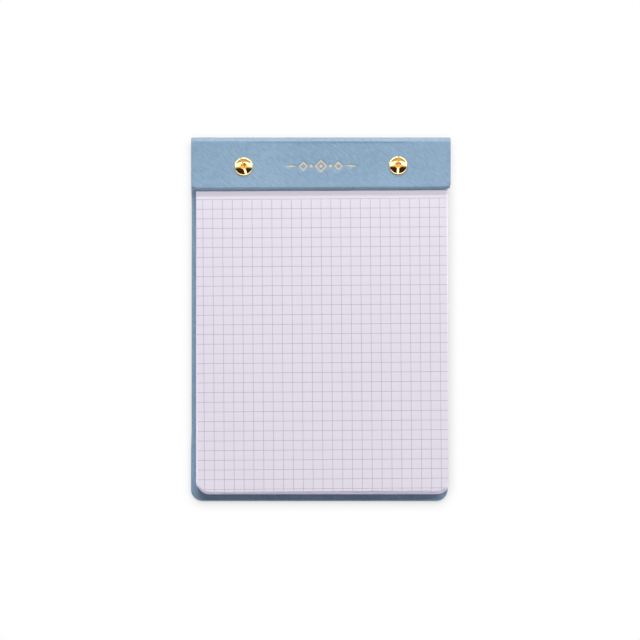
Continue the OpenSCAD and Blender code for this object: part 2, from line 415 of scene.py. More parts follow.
def makeFoil():
    # hot-stamped gold foil: pale, bright, a little broken up by the grain below it
    material, tree, place = newPattern("stampedFoil")
    specks = addNode(tree, "TexNoise", {"Scale": 1 / (foil["speck"] * mm)}, {"Vector": place})
    wear = addNode(tree, "MapRange", {"From Min": 0.45, "From Max": 0.7, "To Max": 0.7},
            {"Value": specks.outputs["Fac"]})
    paint = addNode(tree, "Mix", tones(foil["base"], foil["worn"]), {0: wear})
    finishSurface(tree, paint, specks.outputs["Fac"], foil["relief"],
            {"Metallic": 1.0, "Roughness": foil["roughness"]})
    return material


board = {
    "base": "#BAB1A3",
    "shade": "#8F877B",
    "fleck": "#5E574E",
    "fibre": 0.8,  # mm
    "fleckPitch": 2.2,  # mm
    "relief": (0.4, 0.08),
}


def makeGreyboard():
    # recycled binder's board: dull grey-brown with darker and lighter fibres
    material, tree, place = newPattern("recycledGreyboard")
    fibres = addNode(tree, "TexNoise", {"Scale": 1 / (board["fibre"] * mm), "Detail": 6.0,
            "Distortion": 1.2}, {"Vector": place})
    specks = addNode(tree, "TexVoronoi", {"Scale": 1 / (board["fleckPitch"] * mm)}, {"Vector": place})
    dots = addNode(tree, "MapRange", {"From Min": 0.06, "From Max": 0.12, "To Min": 1.0, "To Max": 0.0},
            {"Value": specks.outputs["Distance"]})
    pulp = addNode(tree, "Mix", tones(board["shade"], board["base"]), {0: fibres.outputs["Fac"]})
    paint = addNode(tree, "Mix", {"data_type": "RGBA", 7: colour(board["fleck"])},
            {0: dots, 6: pulp.outputs[2]})
    finishSurface(tree, paint, fibres.outputs["Fac"], board["relief"],
            {"Roughness": 0.9, "IOR": 1.5, "Specular IOR Level": 0.2})
    return material


lining = {
    "base": "#8FA9BF",
    "shade": "#6F8AA4",
    "bands": 6.2832,  # mm from one band to the next
    "fibre": 0.6,  # mm
    "relief": (0.25, 0.04),
}


def makeLiningPaper():
    # dyed endpaper with faint bands: matt, a shade darker than the leatherette
    material, tree, place = newPattern("dyedEndpaper")
    laid = addNode(tree, "TexWave", {"Scale": math.pi / 10 / (lining["bands"] * mm), "Distortion": 0.6},
            {"Vector": place})
    fibres = addNode(tree, "TexNoise", {"Scale": 1 / (lining["fibre"] * mm), "Detail": 4.0},
            {"Vector": place})
    both = addNode(tree, "Math", {"operation": "MULTIPLY_ADD", 1: 0.25},
            {0: laid.outputs["Fac"], 2: fibres.outputs["Fac"]})
    paint = addNode(tree, "Mix", tones(lining["shade"], lining["base"]), {0: both})
    finishSurface(tree, paint, both, lining["relief"],
            {"Roughness": 0.85, "IOR": 1.5, "Specular IOR Level": 0.15})
    return material


leatherette = makeLeatherette()
plainPaper = makePlainPaper()
squaredPaper = makeSquaredPaper()
polishedBrass = makeBrass("polishedBrass", brass["base"], brass["deep"], brass["roughness"])
# the brass for the hollow, whose darker, redder colour is painted shade
shadedHollowBrass = makeBrass("shadedHollowBrass", brass["hollow"], brass["hollowShadeDeep"], brass["hollowRoughness"])
stampedFoil = makeFoil()
greyboard = makeGreyboard()
liningPaper = makeLiningPaper()

nodeFinish = {
    "cover_wrap": leatherette,
    "cover_lining": liningPaper,
    "back_board": greyboard,
    "spine_board": greyboard,
    "flap_board": greyboard,
    "page_block": plainPaper,
    "post_left": polishedBrass,
    "post_right": polishedBrass,
    "screw_left": polishedBrass,
    "screw_right": polishedBrass,
    "foil_ornament": stampedFoil,
}
for nodeName, finish in nodeFinish.items():
    dress(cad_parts[nodeName], finish)
print("memo pad: materials are made")


# The cover: a plate bent round the block, its rims rolled, its inside opened, its skin thickened

cover = {
    "panel": 2.6,  # thickness of a wrapped panel
    "skin": 0.5,
    "foldOut": 2.8,  # outer radius of the two folds
    "flapPast": 1.6,  # flap and spine past the back at the right
    "stepLength": 2.4,  # up the spine, over which they widen
    "stepRings": 8,
    "stepEdge": 4.5,  # what lies this near the back's right edge moves with the step
    "flapLength": 27.35,
    "backCorner": 6.0,
    "flapCorner": 3.5,
    "rim": 0.6,
    "lowRim": 0.2,  # of its height, as far as the lower rim of the free edge is pressed flat
    "turnIn": 12.0,
    "flapLean": 0.3,  # degrees, the free edge of the flap is cut a little crooked
    "foldSteps": 16,
    "rings": 5,  # of faces along the free edge, and how far they reach from it
    "ringStep": 0.22,
    "ringsTo": 8.0,
    "columns": (2.6, 3.0, 43),  # cuts in the mesh: from the left edge
    "backRows": (8.0, 9.0, 17),  # from the free end of the back
    "flapRows": (3.6, 1.6, 12),  # from the free edge of the flap
    "creaseRows": (-1.6, 0.2, 9),  # from the fold
    "crease": 0.16,  # depth of the step beside the fold
    "creaseFrom": 0.45,  # past the start of the fold, then its steep and its slow side
    "creaseDown": 1.1,
    "creaseBack": 7.0,
    "creaseHalf": 52,  # its ends, either side of the middle, and how far it fades there
    "creaseFades": (26, 16),
    "creaseLean": 0.006,  # a little deeper to the right, by this much a mm
    "creaseShare": 0.78,
    "pressed": 0.07,  # depth to which the screw heads press the flap in
    "pressedFrom": 4.2,
    "pressedReach": 6.0,
    "bevel": 1.5,  # width of the bevel along the free edge, which fades out round the corners
    "bevelStart": 0.7,  # its slope where it begins, and how fast it grows steeper
    "bevelCurve": 0.39,
    "deepest": 2.2,  # the bevel stops at this depth
    "facet": 38,  # degrees, slope of the flat strip that the board's edge makes along the fold
    "facetFrom": 0.5,
    "endShort": 0.12,  # the free end of the back stops this much short
    "bowed": 0.25,  # the left edge of the back lies this far in, but for its two ends
    "bowedLow": 32,
    "bowedHigh": 30,
    "bowedEdge": 1.5,
    "screwSpan": 78.5,
    "screwLean": 0.41,  # degrees
    "hole": 2.7,
    "foot": 4.85,
    "footDepth": 1.0,
    "wave": 0.1,  # unevenness of the flap
    "waveSize": 22,
}
ySpine = coverHigh.y
yFold = ySpine - cover["foldOut"] * mm
yFlap = ySpine - cover["flapLength"] * mm
flapLow = flapTop - cover["panel"] * mm


def screwPlace(side):
    half = cover["screwSpan"] / 2 * mm
    return Vector((side * half, screwY + side * half * math.tan(math.radians(cover["screwLean"])), 0))


def addPin(side, radius, depth, height, name, vertices=64):
    # an upright cylinder on the axis of a screw
    spot = screwPlace(side)
    clearSelection()
    bpy.ops.mesh.primitive_cylinder_add(vertices=vertices, radius=radius * mm, depth=depth * mm,
            location=(spot.x, spot.y, height))
    return startShape(name)


def makeCover():
    xLeft, xRight = coverLow.x, coverHigh.x
    xBack = xRight - cover["flapPast"] * mm
    yEnd = coverLow.y + cover["endShort"] * mm
    panel = cover["panel"] * mm
    foldOut = cover["foldOut"] * mm
    steps = cover["foldSteps"]
    clearSelection()
    bpy.ops.mesh.primitive_cube_add(
        size=1, location=((xLeft + xBack) / 2, (yEnd + yFold) / 2, panel / 2),
        scale=(xBack - xLeft, yFold - yEnd, panel))
    piece = startShape("coverSkin")
    openMesh(piece)

    # bent up into the spine and over into the flap
    pick(piece, "FACE", lambda f: f.normal.y > 0.9)
    bpy.ops.mesh.spin(steps=steps, angle=-math.pi / 2, center=(0, yFold, foldOut), axis=(1, 0, 0))
    extrude(0, 0, flapTop - 2 * foldOut)
    bpy.ops.mesh.spin(steps=steps, angle=-math.pi / 2, center=(0, yFold, flapTop - foldOut),
            axis=(1, 0, 0))
    extrude(0, yFlap - yFold, 0)
    bpy.ops.mesh.select_all(action="SELECT")
    bpy.ops.mesh.remove_doubles(threshold=hair / 10)
    turnOutwards()

    # the free edge of the flap, a little crooked
    def onFlapEnd(v):
        return v.co.z > flapLow - hair and v.co.y < yFlap + hair
    pick(piece, "VERT", onFlapEnd)
    bpy.ops.transform.rotate(value=-math.radians(cover["flapLean"]), orient_axis="Z",
            center_override=(0, yFlap, 0))

    # round corners at both free ends
    def upright(e, low, high):
        a, b = e.verts[0].co, e.verts[1].co
        return (a.xy - b.xy).length < hair and low < a.y < high
    pick(piece, "EDGE", lambda e: upright(e, yEnd - mm, yEnd + mm))
    bpy.ops.mesh.bevel(offset=cover["backCorner"] * mm, segments=12, affect="EDGES")
    pick(piece, "EDGE", lambda e: upright(e, yFlap - mm, yFlap + mm))
    bpy.ops.mesh.bevel(offset=cover["flapCorner"] * mm, segments=10, affect="EDGES")

    # rolled rims
    bpy.ops.mesh.select_mode(type="EDGE")
    bpy.ops.mesh.select_all(action="DESELECT")
    bpy.ops.mesh.edges_select_sharp(sharpness=math.radians(50))
    bpy.ops.mesh.bevel(offset=cover["rim"] * mm, segments=6, affect="EDGES", loop_slide=False)

    # rings on the front of the flap's top, which the bevel needs
    def onTop(f):
        return f.normal.z > 0.99 and f.calc_center_median().z > flapTop - hair
    ringsTo = yFlap + cover["ringsTo"] * mm
    pick(piece, "FACE", onTop)
    cutAt((0, ringsTo, 0), (0, 1, 0))
    pick(piece, "FACE", lambda f: onTop(f) and f.calc_center_median().y < ringsTo)
    for i in range(cover["rings"]):
        bpy.ops.mesh.inset(thickness=cover["ringStep"] * mm)

    # the inside is open where the lining lies
    def faceInside(f):
        c = f.calc_center_median()
        onBack = f.normal.z > 0.99 and abs(c.z - panel) < hair
        onFlap = f.normal.z < -0.99 and abs(c.z - flapLow) < hair
        onSpine = f.normal.y < -0.99 and abs(c.y - ySpine + panel) < hair
        nearFold = yFold - hair < c.y < ySpine - panel + hair and panel - hair < c.z < flapLow + hair
        return onBack or onFlap or onSpine or nearFold
    turnIn = cover["turnIn"] * mm
    xInLeft, xInRight = xLeft + turnIn, xBack - turnIn
    for x in (xInLeft, xInRight):
        pick(piece, "FACE", faceInside)
        cutAt((x, 0, 0), (1, 0, 0))
    pick(piece, "FACE", lambda f: faceInside(f) and f.calc_center_median().z < panel + hair)
    cutAt((0, yEnd + turnIn, 0), (0, 1, 0))
    pick(piece, "FACE", lambda f: faceInside(f) and f.calc_center_median().z > flapLow - hair)
    cutAt((0, yFlap + turnIn, 0), (0, 1, 0))

    def faceOpened(f):
        c = f.calc_center_median()
        low = yEnd if c.z < flapTop / 2 and c.y < yFold else yFlap
        return faceInside(f) and xInLeft < c.x < xInRight and c.y > low + turnIn
    pick(piece, "FACE", faceOpened)
    bpy.ops.mesh.delete(type="FACE")

    # closer mesh: all along, more on the flap, most at the crease
    across, along = Vector((1, 0, 0)), Vector((0, 1, 0))
    cutSeries(xLeft, across, cover["columns"])
    cutSeries(yEnd, along, cover["backRows"])
    cutSeries(yFlap, along, cover["flapRows"])
    cutSeries(yFold, along, cover["creaseRows"])

    # the board's left edge is not quite straight
    pick(piece, "VERT", lambda v: v.co.x < xLeft + cover["bowedEdge"] * mm and v.co.z < foldOut
         and yEnd + cover["bowedLow"] * mm < v.co.y < yFold - cover["bowedHigh"] * mm)
    bpy.ops.transform.translate(value=(cover["bowed"] * mm, 0, 0))

    # spine and flap reach past the back at the right: the step is drawn out up the spine
    foldEnd = flapTop - foldOut
    xStep = xBack - cover["stepEdge"] * mm
    for i in range(1, cover["stepRings"]):
        pick(piece, "FACE", lambda f: f.calc_center_median().y > yFold + hair
             and foldOut < f.calc_center_median().z < foldEnd)
        cutAt((0, 0, foldOut + i * cover["stepLength"] / cover["stepRings"] * mm), (0, 0, 1))
    heights = sorted({round(v.co.z, 6) for v in bmesh.from_edit_mesh(piece.data).verts
            if foldOut - hair < v.co.z < foldEnd - hair and v.co.y > yFold + hair})
    for z in heights:
        reach = ease((z - foldOut) / (cover["stepLength"] * mm)) * cover["flapPast"] * mm
        pick(piece, "VERT", lambda v: v.co.y > yFold + hair and abs(v.co.z - z) < hair / 10
             and v.co.x > xStep)
        bpy.ops.transform.translate(value=(reach, 0, 0))
    pick(piece, "VERT", lambda v: v.co.x > xStep and v.co.z > foldEnd - hair)
    bpy.ops.transform.translate(value=(cover["flapPast"] * mm, 0, 0))

    closeMesh()
    return piece


def sinkFlap(piece):
    # the flap's top sinks beside the fold and under the heads, and its free edge is bevelled
    rim = cover["rim"]
    corner = cover["flapCorner"]

    def besideFold(c):
        along = yFold / mm + cover["creaseFrom"] - c.y / mm
        down = ease(along / cover["creaseDown"])
        back = ease((along - cover["creaseDown"]) / cover["creaseBack"])
        left, right = cover["creaseHalf"] + c.x / mm, cover["creaseHalf"] - c.x / mm
        ends = ease(left / cover["creaseFades"][0]) * ease(right / cover["creaseFades"][1])
        lean = cover["creaseShare"] + cover["creaseLean"] * c.x / mm
        return cover["crease"] * down * (1 - back) * ends * lean

    def underHeads(c):
        away = min((c.xy - screwPlace(side).xy).length for side in (-1, 1)) / mm
        return cover["pressed"] * (1 - ease((away - cover["pressedFrom"]) / cover["pressedReach"]))

    def edgeAt(c):
        # the distance inside the outline, and how far the edge there faces the free end
        inX = min(c.x - coverLow.x, coverHigh.x - c.x) / mm
        inY = (c.y - yFlap - c.x * math.tan(math.radians(cover["flapLean"]))) / mm
        if inX >= corner:
            return inY, 1.0
        toCentre = Vector((corner - inX, max(corner - inY, 0)))
        return corner - toCentre.length, (toCentre.y / max(toCentre.length, 0.01)) ** 1.5

    def bevelHeight(c):
        inside, facing = edgeAt(c)
        if facing < 0.05 or inside > cover["bevel"] * facing:
            return flapTop / mm
        along = cover["bevel"] - max(inside, 0) / facing
        fall = cover["bevelStart"] * along + cover["bevelCurve"] * along ** 3
        return flapTop / mm - fall * facing

    def lowRimHeight(c):
        inside, facing = edgeAt(c)
        up = (c.z - flapLow) / mm
        if not 0 < up < rim + 0.01 or inside > rim + 0.01:
            return c.z / mm
        return flapLow / mm + up * (1 - (1 - cover["lowRim"]) * facing)

    def facetHeight(c):
        past = max((c.y - yFold) / mm - cover["facetFrom"], 0)
        return flapTop / mm - past * math.tan(math.radians(cover["facet"]))

    deepest = cover["deepest"]
    group = piece.vertex_groups.new(name="sunk")
    for v in piece.data.vertices:
        if v.co.z < flapLow or v.co.y < yFlap - mm:
            continue
        level = v.co.z / mm
        if v.co.z > flapTop - 0.4 * mm:
            level -= besideFold(v.co) + (underHeads(v.co) if v.co.z > flapTop - hair else 0)
        level = min(level, bevelHeight(v.co), lowRimHeight(v.co), facetHeight(v.co))
        group.add([v.index], min((v.co.z / mm - level) / deepest, 1), "REPLACE")
    useModifier(piece, "DISPLACE", direction="Z", strength=-deepest * mm, mid_level=0.0,
            vertex_group="sunk")
    piece.vertex_groups.clear()


def unevenFlap(piece):
    # leatherette never lies dead flat: the top of the flap dips here and there
    group = piece.vertex_groups.new(name="flapTop")
    for v in piece.data.vertices:
        inX = min(v.co.x - coverLow.x, coverHigh.x - v.co.x) / mm
        inY = (v.co.y - yFlap) / mm
        if v.co.z > flapTop - 0.5 * mm:
            group.add([v.index], ease((inX - 1) / 4) * ease((inY - 1) / 4), "REPLACE")
    clouds = bpy.data.textures.new("flapWave", "CLOUDS")
    clouds.noise_scale = cover["waveSize"] * mm
    clouds.noise_depth = 1
    useModifier(piece, "DISPLACE", texture=clouds, texture_coords="LOCAL", direction="Z",
            strength=cover["wave"] * mm, mid_level=1.0, vertex_group="flapTop")
    piece.vertex_groups.clear()


def makeFootCups():
    # the leatherette dips round the feet of the posts
    low = 0.06  # clear of the skin's lower face
    top = cover["footDepth"] + cover["skin"]
    return joinAll([addPin(side, cover["foot"] + cover["skin"], top - low, (top + low) / 2 * mm, "footCup")
            for side in (-1, 1)])


def makeHoleCutters():
    cutters = []
    for side in (-1, 1):
        cutter = addPin(side, cover["foot"], 2 * cover["footDepth"], 0, "holeCutter")
        openMesh(cutter)
        pick(cutter, "FACE", lambda f: f.normal.z > 0.9)
        bpy.ops.mesh.inset(thickness=(cover["foot"] - cover["hole"]) * mm)
        extrude(0, 0, flapTop + 1 * mm)
        closeMesh()
        cutters.append(cutter)
    return joinAll(cutters)


ornament = {
    "mid": 3.2,
    "side": 2.3,
    "small": 0.95,
    "line": 0.6,
    "rule": 6.8,
    "ruleHalf": 0.45,
    "space": 0.75,
    "depth": 0.16,
    "past": 0.1,  # above the flap, for a clean cut
    "room": 0.05,  # round the foil on the floor of the pressed shape
    "slope": 0.32,  # how far the pressed side slopes out
}


def makePressCutter():
    # the pressed shapes round the foil, with sloping sides: each is a four-sided solid
    floorZ = flapTop - ornament["depth"] * mm
    lean = math.radians(cover["screwLean"])
    made = []

    def addShape(x, halfX, halfY, hollow):
        centre = Vector((x * mm * math.cos(lean), screwY + x * mm * math.sin(lean), floorZ))
        grow = ornament["room"]
        clearSelection()
        bpy.ops.mesh.primitive_circle_add(vertices=4, radius=mm, fill_type="NGON", location=centre,
                rotation=(0, 0, lean))
        bpy.context.object.scale = (halfX + grow, halfY + grow, 1)
        shape = startShape("pressCutter")
        openMesh(shape)
        if hollow:
            bpy.ops.mesh.select_all(action="SELECT")
            bpy.ops.mesh.inset(thickness=(ornament["line"] + 2 * grow / math.sqrt(2)) * mm)
            bpy.ops.mesh.delete(type="FACE")
        bpy.ops.mesh.select_all(action="SELECT")
        depth = ornament["depth"] + ornament["past"]
        extrude(0, 0, depth * mm)
        slope = ornament["slope"] * depth / ornament["depth"] * math.sqrt(2)
        innerHalf = halfX - ornament["line"] * math.sqrt(2) - grow
        between = (halfX + innerHalf) / 2 * mm if hollow else 0

        def outerTop(v):
            return v.co.z > floorZ + hair and (v.co - centre).xy.length > between

        def innerTop(v):
            return v.co.z > floorZ + hair and (v.co - centre).xy.length < between
        pick(shape, "VERT", outerTop)
        bpy.ops.transform.resize(
            value=((halfX + grow + slope) / (halfX + grow), (halfY + grow + slope) / (halfY + grow), 1),
            orient_matrix=((math.cos(lean), math.sin(lean), 0), (-math.sin(lean), math.cos(lean), 0),
                (0, 0, 1)), orient_type="LOCAL", center_override=centre)
        if hollow:
            pick(shape, "VERT", innerTop)
            factor = (innerHalf - slope) / innerHalf
            bpy.ops.transform.resize(value=(factor, factor, 1), center_override=centre)
        turnOutwards()
        closeMesh()
        made.append(shape)

    smallAt = ornament["mid"] + ornament["space"] + ornament["small"]
    sideAt = smallAt + ornament["small"] + ornament["space"] + ornament["side"]
    ruleAt = sideAt + ornament["side"] + ornament["space"] + ornament["rule"] / 2
    addShape(0, ornament["mid"], ornament["mid"], True)
    addShape(0, ornament["small"], ornament["small"], False)
    for side in (-1, 1):
        addShape(side * smallAt, ornament["small"], ornament["small"], False)
        addShape(side * sideAt, ornament["side"], ornament["side"], True)
        addShape(side * ruleAt, ornament["rule"] / 2, ornament["ruleHalf"], False)
    return joinAll(made)


coverSkin = makeCover()
sinkFlap(coverSkin)
unevenFlap(coverSkin)
useModifier(coverSkin, "SOLIDIFY", thickness=cover["skin"] * mm, use_even_offset=True)
cutWith(coverSkin, makeFootCups(), "UNION")
cutWith(coverSkin, makeHoleCutters())
cutWith(coverSkin, makePressCutter())
smoothBy(coverSkin, 32)
dress(coverSkin, leatherette)
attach(coverSkin, "root")
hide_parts("cover_wrap")
print("memo pad: the cover has", len(coverSkin.data.polygons), "faces")


# The board in the flap: its free edge is pared down under the bevel of the skin

flapBoard = {
    "side": 0.5,  # in from the outside of the skin, at the sides and at the front
    "front": 1.15,
    "low": 9.9,
    "thick": 1.6,
    "pared": 1.35,
}


def makeFlapBoard():
    yFront = yFlap + flapBoard["front"] * mm
    low = flapBoard["low"] * mm
    thick = flapBoard["thick"] * mm
    wide = coverHigh.x - coverLow.x - 2 * flapBoard["side"] * mm
    clearSelection()
    bpy.ops.mesh.primitive_cube_add(size=1, location=(0, (yFront + yFold) / 2, low + thick / 2),
            scale=(wide, yFold - yFront, thick))
    piece = startShape("flapBoard")
    openMesh(piece)
    pick(piece, "EDGE", lambda e: all(v.co.y < yFront + hair and v.co.z > low + hair for v in e.verts))
    bpy.ops.mesh.bevel(offset=flapBoard["pared"] * mm, segments=2, affect="EDGES")
    closeMesh()
    for side in (-1, 1):
        cutWith(piece, addPin(side, cover["hole"], 30, 0, "boardDrill", 40))
    smoothBy(piece, 30)
    dress(piece, greyboard)
    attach(piece, "root")
    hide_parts("flap_board")


makeFlapBoard()
print("memo pad: the flap has its board")


# The block: leaves one on another, a little uneven, the top one turned and with a lifted corner

block = {
    "leaves": 48,
    "leafShare": 0.9,  # of a leaf in the pitch of the stack
    "clamped": 6.4,  # height of the block at the flap
    "slippedRight": 1.0,  # mm, how much further the lowest leaf lies to the right
    "rise": 2.2,
    "riseFrom": 24.4,  # mm from the spine, where the block starts to rise
    "riseLength": 27,  # the rise fades out with this length
    "corner": 5.5,
    "hole": 3.7,
    "slip": 0.03,  # mm, how far a leaf may lie out of line
    "right": 0.12,  # mm, all leaves lie this far to the right
    "up": 0.2,  # mm, and this far up the pad
    "twist": 0.03,  # degrees
    "topTwists": [0.06, 0.14, 0.26, 0.33, 0.36],
    "topShift": 0.25,
    "topShort": 0.02,
    "endBand": 8,  # what lies this near the end moves with it
    "cornerLift": 0.45,  # at the corner of the top sheet, fading out with its reach
    "cornerReach": 14,
    "liftBox": (4.5, 4),
    "columns": (-50, -36, -18, 0, 18, 36, 50),  # cuts in a leaf, and those across it from the spine
    "rows": [24.4, 26.0] + [27.6 + 3 * i for i in range(21)] + [87.6 + 12 * i for i in range(1, 8)],
}


def blockHeight(y):
    along = (ySpine - y) / mm - block["riseFrom"]
    share = 1 - math.exp(-max(along, 0) / block["riseLength"])
    return (block["clamped"] + block["rise"] * share) * mm


def makeLeaves():
    width, length = pageHigh.x - pageLow.x, pageHigh.y - pageLow.y
    pitch = block["clamped"] * mm / block["leaves"]
    clearSelection()
    bpy.ops.mesh.primitive_plane_add(size=1, location=((pageLow.x + pageHigh.x) / 2,
            (pageLow.y + pageHigh.y) / 2, pageLow.z))
    bpy.context.object.scale = (width, length, 1)
    piece = startShape("pageLeaves")
    openMesh(piece)
    pick(piece, "VERT", lambda v: v.co.y < pageLow.y + hair)
    bpy.ops.mesh.bevel(offset=block["corner"] * mm, segments=10, affect="VERTICES")
    for row in block["rows"]:
        cutAll((0, ySpine - row * mm, 0), (0, 1, 0))
    for x in block["columns"]:
        cutAll((x * mm, 0, 0), (1, 0, 0))
    bpy.ops.mesh.select_all(action="SELECT")
    extrude(0, 0, pitch * block["leafShare"])
    turnOutwards()
    closeMesh()
    for side in (-1, 1):
        cutWith(piece, addPin(side, block["hole"], 20, pageLow.z, "punch", 40))
    leafVerts = len(piece.data.vertices)
    useModifier(piece, "ARRAY", count=block["leaves"], use_relative_offset=False,
            use_constant_offset=True, constant_offset_displace=(0, 0, pitch))
    openMesh(piece)
    for y in sorted({round(v.co.y, 6) for v in bmesh.from_edit_mesh(piece.data).verts}):
        growth = blockHeight(y) / (block["clamped"] * mm)
        if growth < 1.0001:
            continue
        pick(piece, "VERT", lambda v: abs(v.co.y - y) < 0.06 * hair)
        bpy.ops.transform.resize(value=(1, 1, growth), center_override=(0, 0, pageLow.z))
    for leaf in range(block["leaves"]):
        pick(piece, "VERT", lambda v: v.index // leafVerts == leaf)
        low = 1 - leaf / block["leaves"]
        slipX = (random.uniform(-1, 1) * block["slip"] + low * block["slippedRight"]) * mm
        slipY = (random.uniform(-1, 1) * block["slip"] + block["up"]) * mm
        twist = random.uniform(-1, 1) * block["twist"]
        fromTop = block["leaves"] - 1 - leaf
        if fromTop < len(block["topTwists"]):
            twist = block["topTwists"][-1 - fromTop]
            slipX = 0
            slipY = (block["topShift"] * twist / block["topTwists"][-1] + block["up"]) * mm
        bpy.ops.transform.translate(value=(slipX + block["right"] * mm, slipY, 0))
        bpy.ops.transform.rotate(value=-math.radians(twist), orient_axis="Z",
                center_override=(0, screwY, 0))
    pick(piece, "VERT", lambda v: v.index // leafVerts == block["leaves"] - 1)
    bpy.ops.mesh.separate(type="SELECTED")
    closeMesh()
    top = [o for o in bpy.context.selected_objects if o != piece][0]
    top.name = "topSheet"
    top.data.name = "topSheet"
    return piece, top


def shapeTopSheet(top):
    # the top sheet is cut a shade short and its left corner stands up a little
    openMesh(top)
    pick(top, "VERT", lambda v: v.co.y < pageLow.y + block["endBand"] * mm)
    bpy.ops.transform.translate(value=(0, block["topShort"] * mm, 0))
    wide, high = block["liftBox"]
    pick(top, "VERT", lambda v: v.co.y < pageLow.y + high * mm and v.co.x < pageLow.x + wide * mm)
    bpy.ops.transform.translate(
        value=(0, 0, block["cornerLift"] * mm), use_proportional_edit=True,
        proportional_edit_falloff="SMOOTH", proportional_size=block["cornerReach"] * mm)
    closeMesh()
    dress(top, squaredPaper)
    top.data.materials.append(plainPaper)
    openMesh(top)
    pick(top, "FACE", lambda f: f.normal.z < 0.7)
    top.active_material_index = 1
    bpy.ops.object.material_slot_assign()
    closeMesh()


pageLeaves, topSheet = makeLeaves()
shapeTopSheet(topSheet)
dress(pageLeaves, plainPaper)
for piece in (pageLeaves, topSheet):
    smoothBy(piece, 30)
    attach(piece, "root")
    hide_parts("page_block")
print("memo pad: the leaves have", len(pageLeaves.data.polygons), "faces")


# The binding screws: turned ring by ring, slotted and softened at the edges

screw = {
    "head": 4.62,
    "height": 2.0,
    "rim": 0.35,
    "domeRadius": 8.446,
    "dish": 1.65,
    "dishRadius": 9.2,
    "shank": 1.7,
    "shankLength": 8.0,
    "slot": 1.0,
    "slotFloor": 0.55,
    "saw": 50,  # radius of the saw that cut the slot, whose floor is a little hollow
    "slotShadeReach": 1.1,  # the slot floor takes the hollow's rougher brass with painted shade this far from the middle
    "turnLeft": 18,
    "turnRight": -3,
    "segments": 128,
    "soften": 0.05,
    "chamfer": 0.2,  # at the end of the shank
    "seatIn": 0.1,  # what the seat is narrower than the start of the rim
    "lip": 0.05,  # half the width of the turn from the dome to the hollow
    "rings": (12, 18, 8),  # round the rim, over the dome and in the hollow
}


def headProfile():
    # radius and height over the flap, from the end of the shank to the middle of the hollow
    rimX = screw["head"] - screw["rim"]
    rimRings, domeRings, dishRings = screw["rings"]
    points = [(screw["shank"] - screw["chamfer"], -screw["shankLength"]),
            (screw["shank"], screw["chamfer"] - screw["shankLength"]),
            (screw["shank"], 0), (rimX - screw["seatIn"], 0)]
    domeMid = screw["height"] - screw["domeRadius"]
    tangent = math.degrees(math.atan2(screw["rim"] - domeMid, rimX))
    for i in range(rimRings + 1):
        turn = math.radians(-90 + i * (90 + tangent) / rimRings)
        points.append((rimX + screw["rim"] * math.cos(turn), screw["rim"] + screw["rim"] * math.sin(turn)))
    last = points[-1][0]
    for i in range(1, domeRings + 1):
        r = last + (screw["dish"] + screw["lip"] - last) * i / domeRings
        points.append((r, domeMid + math.sqrt(screw["domeRadius"] ** 2 - r ** 2)))
    dishEdge = domeMid + math.sqrt(screw["domeRadius"] ** 2 - screw["dish"] ** 2)
    dishMid = dishEdge + math.sqrt(screw["dishRadius"] ** 2 - screw["dish"] ** 2)
    for i in range(dishRings):
        r = (screw["dish"] - screw["lip"]) * (1 - i / dishRings)
        points.append((r, dishMid - math.sqrt(screw["dishRadius"] ** 2 - r ** 2)))
    return points, dishMid - screw["dishRadius"]


def makeScrew(side, slotTurn, name):
    spot = screwPlace(side)
    points, middle = headProfile()
    clearSelection()
    bpy.ops.mesh.primitive_circle_add(
        vertices=screw["segments"], radius=points[0][0] * mm, fill_type="NGON",
        location=(spot.x, spot.y, flapTop + points[0][1] * mm))
    piece = startShape(name)
    openMesh(piece)
    pick(piece, "EDGE", lambda e: e.is_boundary)
    for (r0, z0), (r1, z1) in zip(points, points[1:]):
        extrude(0, 0, (z1 - z0) * mm)
        bpy.ops.transform.resize(value=(r1 / r0, r1 / r0, 1),
                center_override=(spot.x, spot.y, flapTop + z1 * mm))
    extrude(0, 0, (middle - points[-1][1]) * mm)
    bpy.ops.mesh.merge(type="CENTER")
    turnOutwards()
    closeMesh()
    clearSelection()
    bpy.ops.mesh.primitive_cylinder_add(
        vertices=1024, radius=screw["saw"] * mm, depth=screw["slot"] * mm,
        location=(spot.x, spot.y, flapTop + (screw["slotFloor"] + screw["saw"]) * mm),
        rotation=(0, math.pi / 2, math.radians(slotTurn)))
    cutWith(piece, startShape("slotSaw"))
    useModifier(piece, "BEVEL", width=screw["soften"] * mm, segments=3, limit_method="ANGLE",
            angle_limit=math.radians(45))
    smoothBy(piece, 25)
    dress(piece, polishedBrass)
    piece.data.materials.append(shadedHollowBrass)
    openMesh(piece)
    slotHigh = flapTop + (screw["slotFloor"] + 0.2) * mm

    def inHollow(f):
        c = f.calc_center_median()
        reach = screw["dish"] if c.z > slotHigh else screw["slotShadeReach"]
        return f.normal.z > 0.9 and (c.xy - spot.xy).length < reach * mm
    # the hollow and the middle of the slot floor take the brass with painted shade
    pick(piece, "FACE", inHollow)
    piece.active_material_index = 1
    bpy.ops.object.material_slot_assign()
    closeMesh()
    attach(piece, "root")
    return piece


screwLeft = makeScrew(-1, screw["turnLeft"], "screwLeft")
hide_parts("screw_left")
screwRight = makeScrew(1, screw["turnRight"], "screwRight")
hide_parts("screw_right")
print("memo pad: the screws are turned")


# Stage: floor, lamps, cards and camera

